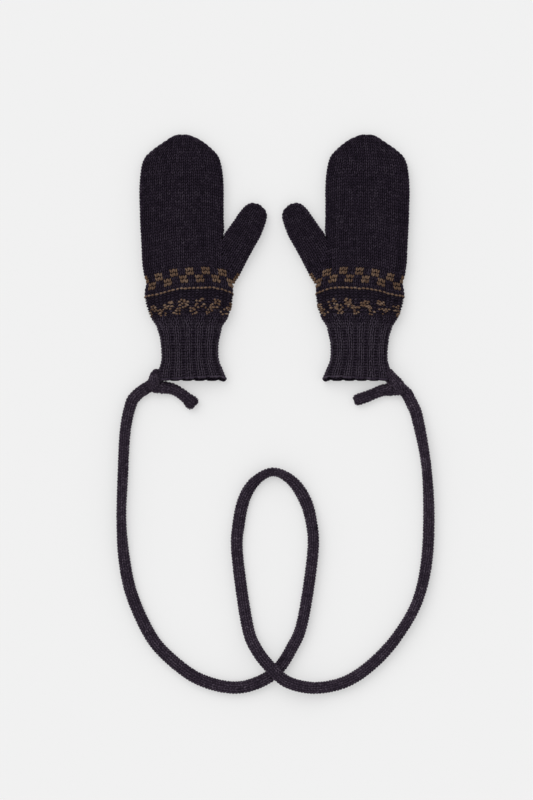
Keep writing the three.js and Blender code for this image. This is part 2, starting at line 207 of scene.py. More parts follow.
def shapedSpindle(name, rings):
    # a three-sided cylinder cut into rings, and each ring moved and sized by its row of the table
    bpy.ops.object.select_all(action="DESELECT")
    bpy.ops.mesh.primitive_cylinder_add(vertices=3, radius=1, depth=2, end_fill_type="NGON", location=(0, 0, 0))
    spindle = bpy.context.object
    spindle.name = name
    bpy.ops.object.mode_set(mode="EDIT")
    for i in range(1, len(rings) - 1):
        bpy.ops.mesh.select_all(action="SELECT")
        height = 2 * i / (len(rings) - 1) - 1
        bpy.ops.mesh.bisect(plane_co=(0, 0, height), plane_no=(0, 0, 1))
    bpy.ops.mesh.select_all(action="SELECT")
    bpy.ops.mesh.normals_make_consistent(inside=False)
    bpy.ops.object.mode_set(mode="OBJECT")
    corners = np.array([v.co for v in spindle.data.vertices])
    faces = np.array([(list(p.vertices) + [-1])[:4] for p in spindle.data.polygons])  # -1 for no fourth corner
    step = np.clip(np.round((corners[:, 2] + 1) / 2 * (len(rings) - 1)), 0, len(rings) - 1).astype(int)
    table = {key: np.array([ring[key] for ring in rings])[step] for key in rings[0]}
    # one edge of the three lies uppermost, and both ends are drawn almost to a point
    closing = np.where((step == 0) | (step == len(rings) - 1), fabric["endShare"], 1)
    shaped = np.stack([
        table["out"] - closing * table["wide"] * corners[:, 0],
        table["at"],
        table["lift"] + closing * table["thick"] * corners[:, 1],
    ], axis=1)
    bpy.data.objects.remove(spindle)
    return {"corners": shaped, "faces": faces}


def arcShape(half, rise, wide, thick, lift):
    # yarn lying along the row: half its length in wales, its rise and width in rows, the rest in mm
    rings = []
    for share in (-1, -0.5, 0, 0.5, 1):
        rings.append({
            "at": half * share,
            "out": rise * (1 - share**2),
            "lift": lift - 0.9 * abs(share) ** 3,
            "wide": wide * (1 - 0.4 * abs(share)),
            "thick": thick * (1 - 0.4 * abs(share)),
        })
    return turnedAcross(shapedSpindle("arc", rings))


def upsideDown(shape):
    return {"corners": shape["corners"] * [1, -1, 1], "faces": shape["faces"][:, ::-1]}


def mirrored(shape):
    return {"corners": shape["corners"] * [-1, 1, 1], "faces": shape["faces"][:, ::-1]}


def turnedAcross(shape):
    # a spindle along the row instead of up it
    corners = shape["corners"]
    return {"corners": np.stack([corners[:, 1], corners[:, 0], corners[:, 2]], axis=1), "faces": shape["faces"][:, ::-1]}


rightLeg = shapedSpindle("leg", legRings)
leftLeg = mirrored(rightLeg)
rightLong = shapedSpindle("longLeg", longRings)
leftLong = mirrored(rightLong)
rightPlump = shapedSpindle("plumpLeg", plumpRings)
leftPlump = mirrored(rightPlump)
bump = arcShape(0.6, 0.14, 0.52, 0.6, -0.85)
upperArc = arcShape(0.56, 0.4, 0.21, 0.8, -0.95)
lowerArc = upsideDown(upperArc)
dash = arcShape(0.5, 0.04, 0.38, 0.75, -0.15)
bead = arcShape(0.4, 0.1, 0.38, 0.65, -0.35)
print("stitch shapes made")


def movedOn(faces, start):
    # the same faces further on in a longer list of corners
    return np.where(faces < 0, -1, faces + start)


def laid(shape, seats, placed):
    # copies of one stitch shape at all its seats, wrapped by the function placed
    count = len(seats["row"])
    corners = shape["corners"]
    size = 1 + 0.05 * chance.standard_normal((count, 1))
    shiftAcross = 0.035 * chance.standard_normal((count, 1))
    shiftUp = 0.045 * chance.standard_normal((count, 1))
    lean = 0.03 * chance.standard_normal((count, 1))
    across = corners[None, :, 0] * size + shiftAcross + lean * corners[None, :, 1]
    up = corners[None, :, 1] + shiftUp
    lift = corners[None, :, 2] + seats["lift"][:, None] + 0.05 * chance.standard_normal((count, 1))
    row = seats["row"][:, None] + 0.5 + up
    around = seats["share"][:, None] + across * seats["width"][:, None]
    points = placed(row, around, lift)
    faces = movedOn(shape["faces"][None], np.arange(count)[:, None, None] * len(corners))
    tone = np.repeat(seats["tone"] + 0.25 * chance.standard_normal(count), len(corners))
    return points.reshape(-1, 3), faces.reshape(-1, 4), tone


def joined(parts):
    corners = []
    faces = []
    tones = []
    start = 0
    for points, quads, tone in parts:
        corners.append(points)
        faces.append(movedOn(quads, start))
        tones.append(tone)
        start += len(points)
    return np.vstack(corners), np.vstack(faces), np.concatenate(tones)


def pieceFrom(name, corners, faces, tone, material):
    # one object from arrays of corners in mm and of faces with three or four of them
    mesh = bpy.data.meshes.new(name)
    mesh.vertices.add(len(corners))
    mesh.vertices.foreach_set("co", (corners * mm).astype(np.float32).ravel())
    used = faces >= 0
    starts = np.cumsum(used.sum(axis=1)) - used.sum(axis=1)
    mesh.loops.add(int(used.sum()))
    mesh.loops.foreach_set("vertex_index", faces[used].astype(np.int32))
    mesh.polygons.add(len(faces))
    mesh.polygons.foreach_set("loop_start", starts.astype(np.int32))
    mesh.polygons.foreach_set("use_smooth", np.ones(len(faces), bool))
    mesh.update(calc_edges=True)
    attribute = mesh.attributes.new("tone", "FLOAT", "POINT")
    attribute.data.foreach_set("value", tone.astype(np.float32))
    mesh.validate()
    piece = bpy.data.objects.new(name, mesh)
    bpy.context.scene.collection.objects.link(piece)
    piece.data.materials.append(material)
    return piece


def seatsOf(rows, shares, widths, lift=0.0):
    rows = np.asarray(rows, float)
    return {
        "row": rows,
        "share": np.asarray(shares, float),
        "width": np.asarray(widths, float),
        "lift": np.full(len(rows), lift),
        "tone": fabric["stitchTone"] * chance.standard_normal(len(rows)),
    }


def chosen(seats, keep, lift=None):
    part = {key: value[keep] for key, value in seats.items()}
    if lift is not None:
        part["lift"] = np.full(len(part["row"]), lift)
    return part


# Wool

wool = {
    "dark": {"low": (0.007, 0.0057, 0.0098), "middle": (0.0275, 0.019, 0.033), "high": (0.07, 0.056, 0.077)},
    "cord": {"low": (0.012, 0.009, 0.0145), "middle": (0.047, 0.0338, 0.0515), "high": (0.135, 0.109, 0.142)},
    "brown": {"low": (0.066, 0.036, 0.023), "middle": (0.15, 0.092, 0.059), "high": (0.238, 0.166, 0.12)},
    # near-black wool of the backing: painted shade seen in the gaps between stitches
    "inside": {"low": (0.004, 0.0028, 0.0048), "middle": (0.008, 0.0058, 0.0095), "high": (0.014, 0.011, 0.016)},
}
woolFinish = {
    "roughness": 0.95,
    "specular": 0.03,
    "sheen": 0.03,
    "sheenTint": (0.75, 0.6, 0.85, 1),
    "sheenRoughness": 0.5,
    "fibreScale": 1500,
    "fibreShare": 1.3,
    "patchScale": 70,
    "patchShare": 0.18,
    "toneShare": 0.18,
    "bump": 0.4,
}


def woolMaterial(name):
    # yarn: a tone for each stitch, slow patches and fine fibres over it
    tints = wool[name]
    material = bpy.data.materials.new(name + "Wool")
    material.use_nodes = True
    nodes = material.node_tree.nodes
    links = material.node_tree.links
    shader = nodes["Principled BSDF"]
    shader.inputs["Roughness"].default_value = woolFinish["roughness"]
    shader.inputs["Sheen Weight"].default_value = woolFinish["sheen"]
    shader.inputs["Sheen Tint"].default_value = woolFinish["sheenTint"]
    shader.inputs["Sheen Roughness"].default_value = woolFinish["sheenRoughness"]
    shader.inputs["Specular IOR Level"].default_value = woolFinish["specular"]
    place = nodes.new("ShaderNodeTexCoord")
    fibres = nodes.new("ShaderNodeTexNoise")
    fibres.inputs["Scale"].default_value = woolFinish["fibreScale"]
    fibres.inputs["Detail"].default_value = 3
    patches = nodes.new("ShaderNodeTexNoise")
    patches.inputs["Scale"].default_value = woolFinish["patchScale"]
    patches.inputs["Detail"].default_value = 2
    toneNode = nodes.new("ShaderNodeAttribute")
    toneNode.attribute_name = "tone"
    toneShare = nodes.new("ShaderNodeMath")
    toneShare.operation = "MULTIPLY_ADD"
    toneShare.inputs[1].default_value = woolFinish["toneShare"]
    toneShare.inputs[2].default_value = 0.5 - 0.5 * (woolFinish["patchShare"] + woolFinish["fibreShare"])
    both = nodes.new("ShaderNodeMath")
    both.operation = "MULTIPLY_ADD"
    both.inputs[1].default_value = woolFinish["patchShare"]
    mixed = nodes.new("ShaderNodeMath")
    mixed.operation = "MULTIPLY_ADD"
    mixed.inputs[1].default_value = woolFinish["fibreShare"]
    ramp = nodes.new("ShaderNodeValToRGB")
    ramp.color_ramp.elements[0].position = 0.1
    ramp.color_ramp.elements[1].position = 0.9
    ramp.color_ramp.elements[0].color = (*tints["low"], 1)
    ramp.color_ramp.elements[1].color = (*tints["high"], 1)
    ramp.color_ramp.elements.new(0.5).color = (*tints["middle"], 1)
    bumpNode = nodes.new("ShaderNodeBump")
    bumpNode.inputs["Strength"].default_value = woolFinish["bump"]
    bumpNode.inputs["Distance"].default_value = 0.0004
    links.new(place.outputs["Object"], fibres.inputs["Vector"])
    links.new(place.outputs["Object"], patches.inputs["Vector"])
    links.new(toneNode.outputs["Fac"], toneShare.inputs[0])
    links.new(patches.outputs["Fac"], both.inputs[0])
    links.new(toneShare.outputs[0], both.inputs[2])
    links.new(fibres.outputs["Fac"], mixed.inputs[0])
    links.new(both.outputs[0], mixed.inputs[2])
    links.new(mixed.outputs[0], ramp.inputs["Fac"])
    links.new(ramp.outputs["Color"], shader.inputs["Base Color"])
    links.new(fibres.outputs["Fac"], bumpNode.inputs["Height"])
    links.new(bumpNode.outputs["Normal"], shader.inputs["Normal"])
    return material


darkWool = woolMaterial("dark")
cordWool = woolMaterial("cord")
brownWool = woolMaterial("brown")
# the darkest wool, painted shade for the gaps between stitches
gapShadeWool = woolMaterial("inside")


def wallOn(name, form, placed, rows, sides, closedEnd, material):
    # the plain backing of a knitted layer: a grid wrapped on the form, closed and given a wall
    bpy.ops.object.select_all(action="DESELECT")
    bpy.ops.mesh.primitive_grid_add(x_subdivisions=sides, y_subdivisions=rows, size=1, location=(0, 0, 0))
    wall = bpy.context.object
    wall.name = name
    wall.data.name = name
    grid = np.array([v.co for v in wall.data.vertices])
    points = placed(grid[:, 1] + 0.5, grid[:, 0] + 0.5, np.full(len(grid), -fabric["wallDepth"]))
    wall.data.vertices.foreach_set("co", (points * mm).astype(np.float32).ravel())
    bpy.ops.object.mode_set(mode="EDIT")
    bpy.ops.mesh.select_all(action="SELECT")
    bpy.ops.mesh.remove_doubles(threshold=0.00002)
    bpy.ops.object.mode_set(mode="OBJECT")
    if closedEnd:
        closeHoles(wall, closedEnd)
    bpy.ops.object.mode_set(mode="EDIT")
    bpy.ops.mesh.select_all(action="SELECT")
    bpy.ops.mesh.normals_make_consistent(inside=False)
    bpy.ops.object.mode_set(mode="OBJECT")
    thick = wall.modifiers.new("wall", "SOLIDIFY")
    thick.thickness = fabric["wallThickness"] * mm
    thick.offset = -1
    bpy.ops.object.modifier_apply(modifier="wall")
    bpy.ops.object.shade_smooth()
    wall.data.materials.append(material)
    return wall


def closeHoles(wall, test):
    # fills the open edge loops whose vertices pass the test
    mesh = wall.data
    uses = {}
    for polygon in mesh.polygons:
        for key in polygon.edge_keys:
            uses[key] = uses.get(key, 0) + 1
    for vertex in mesh.vertices:
        vertex.select = False
    for polygon in mesh.polygons:
        polygon.select = False
    for edge in mesh.edges:
        open_ = uses.get(edge.key, 0) == 1
        edge.select = open_ and all(test(mesh.vertices[i].co) for i in edge.vertices)
        if edge.select:
            for i in edge.vertices:
                mesh.vertices[i].select = True
    bpy.ops.object.mode_set(mode="EDIT")
    bpy.ops.mesh.select_mode(type="EDGE")
    bpy.ops.mesh.fill()
    bpy.ops.mesh.select_mode(type="VERT")
    bpy.ops.object.mode_set(mode="OBJECT")


# Mitten. Its own frame in mm: x = 0 on the hand's middle growing to the thumb, y = 0 where the
# ribbing ends growing to the finger tips. The right mitten is the mirror image.

mitten = {
    "spacing": 195.3,
    "handLength": 204.8,
    "handWidth": 89,
    "handDepth": 18,
    "thumbLength": 82,
    "thumbWidth": 33.6,
    "thumbDepth": 15.5,
    "thumbLean": 29.8,
    "thumbRootX": 39.4,
    "thumbRootY": 60.8,
    "seamFillet": 5.0,
    "cuffLength": 55,
    "cuffWidth": 60.9,
    "cuffDepth": 16.5,
    "cuffCentre": 8.9,
    "wristWidth": 68.6,
    "ribDepth": 1.2,
    "gatherReach": 14.0,
    "hemScallop": 1.0,
    "hemLag": 5.0,
    # painted highlight on the ribbing's raised knit wales, and a smaller lift for its purl wales, painted shade in the
    # grooves
    "ribHighlight": 1.6,
    "purlShadeTone": 0.3,
    "purlLift": 0.0,
    "edgeTone": 1.6,
}
ribTopY = (mitten["cuffLength"] - mitten["handLength"]) / 2
wristLeft = mitten["cuffCentre"] - 0.508 * mitten["wristWidth"]
wristRight = mitten["cuffCentre"] + 0.492 * mitten["wristWidth"]

# at of the hand's length, left and right of its width, depth of its depth, low in mm
handTable = [
    (-0.02, wristLeft / 89, wristRight / 89, 16.5 / 18, 0),
    (0.0, wristLeft / 89, wristRight / 89, 16.5 / 18, 0),
    (0.051, -0.359, 0.547, 0.94, 0),
    (0.113, -0.418, 0.594, 0.98, 0),
    (0.164, -0.438, 0.612, 1, 0),
    (0.205, -0.432, 0.612, 0.98, 0),
    (0.236, -0.418, 0.618, 0.97, 0),
    (0.272, -0.444, 0.626, 1, 0),
    (0.328, -0.465, 0.578, 1, 0),
    (0.42, -0.476, 0.524, 0.98, 0),
    (0.51, -0.488, 0.506, 0.97, 0),
    (0.62, -0.497, 0.5, 0.95, 0),
    (0.73, -0.5, 0.5, 0.9, 0),
    (0.8, -0.487, 0.488, 0.85, 0),
    (0.851, -0.465, 0.465, 0.8, 0),
    (0.885, -0.426, 0.438, 0.75, 0),
    (0.914, -0.359, 0.382, 0.7, 0),
    (0.944, -0.265, 0.306, 0.64, 0.2),
    (0.974, -0.162, 0.206, 0.54, 0.6),
    (0.99, -0.1, 0.125, 0.44, 1.2),
    (1.0, -0.03, 0.045, 0.26, 2.4),
]
# at of the thumb's length, inner and outer of its width, depth of its depth, low in mm
thumbTable = [
    (-0.13, -0.5, 0.61, 0.86, 0),
    (0.1, -0.52, 0.632, 0.9, 0),
    (0.32, -0.5, 0.61, 0.97, 0),
    (0.52, -0.42, 0.602, 1, 0),
    (0.64, -0.39, 0.6, 0.98, 0),
    (0.75, -0.37, 0.565, 0.93, 0),
    (0.84, -0.34, 0.52, 0.86, 0),
    (0.905, -0.295, 0.47, 0.78, 0),
    (0.95, -0.22, 0.39, 0.7, 0.3),
    (0.98, -0.12, 0.28, 0.58, 0.9),
    (1.0, 0.02, 0.12, 0.36, 2.2),
]
# at of the cuff's length above the hem, left and right of its width, depth, rib and hem shares
cuffTable = [
    (0.0, -0.59, 0.645, 1.02, 0.8, 1),
    (0.2, -0.55, 0.575, 1, 0.95, 0.5),
    (0.38, -0.502, 0.512, 1, 1, 0.1),
    (0.58, -0.5, 0.495, 1, 1, 0),
    (0.75, -0.515, 0.505, 1, 1, 0),
    (0.9, -0.54, 0.535, 1, 0.9, 0),
    (1.0, (wristLeft - 8.9) / 60.9, (wristRight - 8.9) / 60.9, 1, 0.8, 0),
    (1.06, (wristLeft - 8.9) / 60.9, (wristRight - 8.9) / 60.9, 1, 0.8, 0),
]
# where the knitting changes: rows above the ribbing, their height in mm and a wale's width in mm
rowTable = [
    (-1, -3.05, 2.87), (0, 0, 2.87), (5, 15.4, 4.15), (7, 23.5, 4.25), (9, 31.1, 4.27), (10, 34.8, 4.27), (12, 40.8, 4.27),
    (13, 44.7, 4.27), (14, 48.4, 4.27), (16, 56.4, 4.27), (18, 64.4, 4.27), (28, 94.9, 4.4), (64, 204.8, 4.45),
]
# how far a row hangs down at a place across the face, from -1 at the outer fold to 1 at the thumb's
bowTable = [
    (-1, -10), (-0.93, -9.3), (-0.73, -7.8), (-0.56, -6), (-0.36, -3), (-0.18, -1.2), (0, -0.8),
    (0.35, 0), (0.5, 0), (0.71, -2), (0.8, -3.6), (1, -7.2),
]
bowAmount = [(0, 0), (5, 0.3), (8, 0.8), (12, 1), (20, 1), (40, 0.6), (57, 0.3), (64, 0)]


def ribProfile(share):
    # 1 on the two knit wales of a repeat, 0 in the narrow groove of its two purl wales
    turn = 2 * np.pi * (share * fabric["ribRepeats"] - 0.125)
    groove = np.clip((-np.cos(turn) - 0.72) / 0.28, 0, 1)
    return 1 - 0.8 * groove - 0.1 * (1 - np.cos(turn))


def ribShare(around, amount):
    # draws the purl wales of each repeat together and lets the knit wales spread over them
    wale = (around * 4 * fabric["ribRepeats"] + 0.5) % 4 - 0.5
    half = 2 * fabric["knitShare"]
    drawn = np.interp(wale, [-0.5, 1.5, 3.5], [0.5 - half, 0.5 + half, 4.5 - half])
    return around + amount * (drawn - wale) / (4 * fabric["ribRepeats"])


def columns(table):
    return [np.array(column, float) for column in zip(*table)]


def handForm(sides=312, steps=420):
    places, left, right, depth, low = columns(handTable)
    ats = np.linspace(places[0], 1, steps + 1)
    rings = []
    reach = []
    for at in ats:
        ring, upper = flatSection(
            smoothAt(places, left, at) * mitten["handWidth"],
            smoothAt(places, right, at) * mitten["handWidth"],
            smoothAt(places, depth, at) * mitten["handDepth"],
            smoothAt(places, low, at), sides)
        rings.append(np.stack([ring[:, 0], np.full(len(ring), at * mitten["handLength"]), ring[:, 1]], axis=1))
        reach.append(upper)
    form = formOf(np.array(rings))
    share = np.linspace(0, 1, sides + 1)
    gather = np.exp(-(np.maximum(ats, 0) * mitten["handLength"] / mitten["gatherReach"]) ** 1.2)
    sunk = mitten["ribDepth"] * 0.8 * gather[:, None] * (1 - ribProfile(share))[None]
    form = formOf(form["points"] - sunk[..., None] * form["outward"])
    form["reach"] = (ats * mitten["handLength"], np.array(reach))
    return form


def thumbForm(sides=96, steps=220):
    places, inner, outer, depth, low = columns(thumbTable)
    lean = math.radians(mitten["thumbLean"])
    axis = np.array([math.sin(lean), math.cos(lean), 0])
    across = np.array([math.cos(lean), -math.sin(lean), 0])
    root = np.array([mitten["thumbRootX"], mitten["thumbRootY"], 0])
    rings = []
    reach = []
    for at in np.linspace(places[0], 1, steps + 1):
        ring, upper = flatSection(
            smoothAt(places, inner, at) * mitten["thumbWidth"],
            smoothAt(places, outer, at) * mitten["thumbWidth"],
            smoothAt(places, depth, at) * mitten["thumbDepth"],
            smoothAt(places, low, at), sides)
        rings.append(root + at * mitten["thumbLength"] * axis + ring[:, :1] * across
                     + ring[:, 1:] * np.array([0, 0, 1]))
        reach.append(upper)
    form = formOf(np.array(rings))
    form["reach"] = np.array(reach)
    return form


def cuffForm(sides=312, steps=110):
    places, left, right, depth, rib, hem = columns(cuffTable)
    share = np.linspace(0, 1, sides + 1)
    groove = 1 - ribProfile(share)
    rings = []
    ats = np.linspace(0, places[-1], steps + 1)
    for at in ats:
        x0 = mitten["cuffCentre"] + smoothAt(places, left, at) * mitten["cuffWidth"]
        x1 = mitten["cuffCentre"] + smoothAt(places, right, at) * mitten["cuffWidth"]
        high = smoothAt(places, depth, at) * mitten["cuffDepth"]
        ring, upper = flatSection(x0, x1, high, 0, sides)
        amount = smoothAt(places, hem, at)
        across = (ring[:, 0] - x0) / (x1 - x0)
        lag = mitten["hemLag"] * np.clip(across, 0, 1) ** 1.4 * (ring[:, 1] / high) ** 2
        y = (at - 1) * mitten["cuffLength"] + amount * (mitten["hemScallop"] * groove + lag)
        rings.append(np.stack([ring[:, 0], y, ring[:, 1]], axis=1))
    form = formOf(np.array(rings))
    depthHere = smoothAt(places, rib, ats) * mitten["ribDepth"]
    return formOf(form["points"] - (depthHere[:, None] * groove[None])[..., None] * form["outward"])


def thumbHeight(x, y):
    # height of the thumb's upper layer over a place in the mitten's frame, below zero outside it
    places, inner, outer, depth, low = columns(thumbTable)
    lean = math.radians(mitten["thumbLean"])
    dx = x - mitten["thumbRootX"]
    dy = y - mitten["thumbRootY"]
    at = (dx * math.sin(lean) + dy * math.cos(lean)) / mitten["thumbLength"]
    across = dx * math.cos(lean) - dy * math.sin(lean)
    left = smoothAt(places, inner, at) * mitten["thumbWidth"]
    right = smoothAt(places, outer, at) * mitten["thumbWidth"]
    high = smoothAt(places, depth, at) * mitten["thumbDepth"]
    return np.where((at > places[0]) & (at < 1), domeHeight(across, left, right, high), -20)


def handHeight(x, y):
    places, left, right, depth, low = columns(handTable)
    at = y / mitten["handLength"]
    return np.where(at < 1, domeHeight(
        x,
        smoothAt(places, left, at) * mitten["handWidth"],
        smoothAt(places, right, at) * mitten["handWidth"],
        smoothAt(places, depth, at) * mitten["handDepth"]), -20)


def domeHeight(x, left, right, high):
    half = (right - left) / 2
    share = np.abs((x - (left + right) / 2) / half)
    fold = fabric["foldShare"] * high
    dome = np.clip(1 - np.clip(share, 0, 1) ** fabric["domePower"], 0, 1) ** (1 / fabric["domePower"])
    return np.where(share < 1, fold + (high - fold) * dome, fold - 14 * (share - 1) * half / 4)


def softSeam(points, otherHeight):
    # the valley between the hand and the thumb is filled a little, as one knitted fabric does
    reach = mitten["seamFillet"]
    gap = np.abs(points[..., 2] - otherHeight(points[..., 0], points[..., 1]))
    upper = np.clip(points[..., 2] / 8 - 0.3, 0, 1)
    points[..., 2] += upper * reach / 4 * np.clip(1 - gap / reach, 0, 1) ** 2
    return points


def uneven(points):
    # the slight waves of a soft fabric, none of them below the table
    x = points[..., 0]
    y = points[..., 1]
    wave = np.sin(x / 9.1 + 0.8 * np.sin(y / 17)) + np.sin(y / 12.3 + 1.3 + 0.7 * np.sin(x / 13)) - 0.6
    points[..., 2] += fabric["unevenLift"] * wave * np.clip(points[..., 2] / 12, 0, 1)
    return points


hand = handForm()
thumb = thumbForm()
cuff = cuffForm()
rowPlaces, rowHeights, waleWidths = columns(rowTable)
bowPlaces, bowDrops = columns(bowTable)
bowRows, bowShares = columns(bowAmount)
print("forms made")


def faceShare(around):
    # -1 at the outer fold, 1 at the thumb side's fold, for both layers
    around = around % 1
    return np.where(around < 0.5, 4 * around - 1, 3 - 4 * around)


def rowY(row, around):
    drop = np.interp(faceShare(around), bowPlaces, bowDrops) * np.interp(row, bowRows, bowShares)
    return np.interp(row, rowPlaces, rowHeights) + drop


def onHand(row, around, lift):
    start = handTable[0][0]
    y = rowY(row, around)
    along = (y / mitten["handLength"] - start) / (1 - start)
    gather = np.exp(-(np.maximum(y, 0) / mitten["gatherReach"]) ** 1.2)
    return uneven(softSeam(onForm(hand, along, ribShare(around, gather), lift), thumbHeight))


def thumbRowsAt(row):
    start = thumbTable[0][0] * mitten["thumbLength"]
    total = mitten["thumbLength"] - start
    return row * fabric["rowHeight"] / total


def onThumb(row, around, lift):
    return uneven(softSeam(onForm(thumb, thumbRowsAt(row), around, lift), handHeight))


def onCuff(row, around, lift):
    along = row * fabric["rowHeight"] / mitten["cuffLength"] / cuffTable[-1][0]
    return uneven(onForm(cuff, along, ribShare(around, 1), lift))


def handSeats():
    rows = []
    shares = []
    widths = []
    wales = []
    for row in range(64):
        y = float(np.interp(row + 0.5, rowPlaces, rowHeights))
        reach = float(np.interp(y, *hand["reach"]))
        width = float(np.interp(row + 0.5, rowPlaces, waleWidths))
        count = max(2.0, reach / width)
        if row > 44:
            count = 2 * max(1, round(count / 2))
        anchor = np.interp(row, [0, 3, 24, 32], [0.25, 5.5 / count, 5.5 / count, 0.25])
        placed = []
        for wale in range(-14, 15):
            share = anchor + 0.5 * wale / count
            if -0.1 / count <= share <= 0.5 + 0.1 / count:
                placed.append((share, wale))
                if 0.1 / count < share < 0.5 - 0.1 / count:
                    placed.append((1 - share, wale))
        # a wale more on a fold that the others leave bare
        shown = [share for share, wale in placed]
        last = max(wale for share, wale in placed)
        if min(abs(share - 0.5) for share in shown) > 0.32 / count:
            placed.append((0.5, last + 1))
        if min(shown) > 0.32 / count:
            placed.append((0, min(wale for share, wale in placed) - 1))
        for share, wale in placed:
            rows.append(row)
            shares.append(share)
            widths.append(0.5 / count)
            wales.append(wale + 11)
    return seatsOf(rows, shares, widths), np.array(wales)


def chartOf(row, wale):
    # 1 where the chart asks for brown: a chequer of two by two stitches above the line, its mirror
    # image below, and the line itself; k counts wales from the outer fold
    k = wale % 4
    first = (k == 0) | (k == 1)
    upper = ((row == 16) | (row == 17)) & first | ((row == 14) | (row == 15)) & ~first
    line = row == 12
    return upper, line


# The lower band shows the wrong side of its brown stitches: beads of yarn in a ring about each
# pair of wales and a dash over it, as wales across from the pair and rows up from its first row
pairBeads = [
    (-0.4, -0.4), (0.4, -0.4), (-0.85, 0.1), (0.05, 0.1), (0.85, 0.1), (-0.4, 0.6), (0.45, 0.6),
    (-0.85, 1.1), (0, 1.1), (0.85, 1.15), (-0.4, 1.6), (0.4, 1.6),
]
# where pairs begin: their row, their wale of four, and how likely each bead is to show
lowerPairs = [(5.4, 0, 0.7), (7.2, 2, 0.78)]
# lone beads that link the pairs, in the same measures
linkBeads = [(6.6, 1, 0.5), (8.8, 3, 0.3)]


def streaked(seats, rows, wales):
    # yarn changes its tone from row to row, and each wale catches the light a little differently
    rowTones = chance.standard_normal(80)
    waleTones = chance.standard_normal(80)
    seats["tone"] += fabric["rowStreak"] * rowTones[rows.astype(int)]
    seats["tone"] += fabric["waleStreak"] * waleTones[wales.astype(int)]


def beadsOver(seats, begun, up, across, likely):
    # one bead over each pair of wales, moved a little by chance and left out now and then
    part = chosen(seats, begun & (chance.random(len(begun)) < likely), 0.1)
    count = len(part["row"])
    part["row"] += up - 0.5 + 0.12 * chance.standard_normal(count)
    towardThumb = np.where(part["share"] < 0.5, 1, -1)
    part["share"] += (across + 0.1 * chance.standard_normal(count)) * towardThumb * part["width"]
    part["width"] *= 1 + 0.15 * chance.standard_normal(count)
    part["tone"] = 0.9 * chance.standard_normal(count)
    return laid(bead, part, onHand)


def dressHand(name, side):
    seats, wales = handSeats()
    row = seats["row"]
    streaked(seats, row, wales + 10)
    # the painted highlight of the ribbing fades out over the first rows of the hand
    seats["tone"] += mitten["ribHighlight"] * np.clip(1 - row / 5, 0, 1)
    centres = onHand(row + 0.5, seats["share"], np.zeros(len(row)))
    front = seats["share"] < 0.5
    over = thumbHeight(centres[:, 0], centres[:, 1])
    visible = np.where(front, over < centres[:, 2] + 0.5, (over < 4) | (seats["share"] > 0.58))
    upper, line = chartOf(row, wales)
    purl = (row >= 5) & (row <= 11)
    dark = [
        laid(rightLeg, chosen(seats, visible & ~upper & ~purl), onHand),
        laid(leftLeg, chosen(seats, visible & ~upper & ~purl), onHand),
        laid(upperArc, chosen(seats, visible & purl), onHand),
        laid(lowerArc, chosen(seats, visible & purl), onHand),
    ]
    brown = [
        laid(rightPlump, chosen(seats, visible & upper), onHand),
        laid(leftPlump, chosen(seats, visible & upper), onHand),
        laid(dash, chosen(seats, visible & line), onHand),
    ]
    for first, wale, likely in lowerPairs:
        begun = visible & (row == int(first)) & (wales % 4 == wale)
        for across, up in pairBeads:
            brown.append(beadsOver(seats, begun, first % 1 + up, 0.5 + across, likely))
    for first, wale, likely in linkBeads:
        begun = visible & (row == int(first)) & (wales % 4 == wale)
        brown.append(beadsOver(seats, begun, first % 1, 0.5, likely))
    knit = mittenPiece(name + "HandKnit", joined(dark), side, darkWool)
    bands = mittenPiece(name + "Bands", joined(brown), side, brownWool)
    return knit, bands


def thumbSeats():
    rows = []
    shares = []
    widths = []
    total = int((1 - thumbTable[0][0]) * mitten["thumbLength"] / fabric["rowHeight"])
    for row in range(total + 1):
        at = thumbRowsAt(row + 0.5)
        reach = float(np.interp(min(at, 1) * (len(thumb["reach"]) - 1), range(len(thumb["reach"])), thumb["reach"]))
        count = 2 * max(1, round(reach / 4.35 / 2))
        for wale in range(-count // 2, count // 2):
            for centre in (0.25, 0.75):
                rows.append(row)
                shares.append(centre + 0.5 * wale / count)
                widths.append(0.5 / count)
    return seatsOf(rows, shares, widths)


def dressThumb(name, side):
    seats = thumbSeats()
    centres = onThumb(seats["row"] + 0.5, seats["share"], np.zeros(len(seats["row"])))
    x = centres[:, 0]
    y = centres[:, 1]
    front = (seats["share"] % 1) < 0.5
    over = handHeight(x, y)
    visible = np.where(front, over < centres[:, 2] + 0.1, over < 4)
    guess = np.interp((x + 39.2) / 51.2 - 1, bowPlaces, bowDrops)
    row = np.interp(y - guess, rowHeights, rowPlaces)
    wale = np.round((x + 43.5) / 4.27)
    upper, line = chartOf(np.floor(row), wale)
    knit = mittenPiece(name + "ThumbKnit", joined([
        laid(rightLeg, chosen(seats, visible & ~upper), onThumb),
        laid(leftLeg, chosen(seats, visible & ~upper), onThumb),
    ]), side, darkWool)
    parts = [
        laid(rightPlump, chosen(seats, visible & upper), onThumb),
        laid(leftPlump, chosen(seats, visible & upper), onThumb),
    ]
    return knit, parts


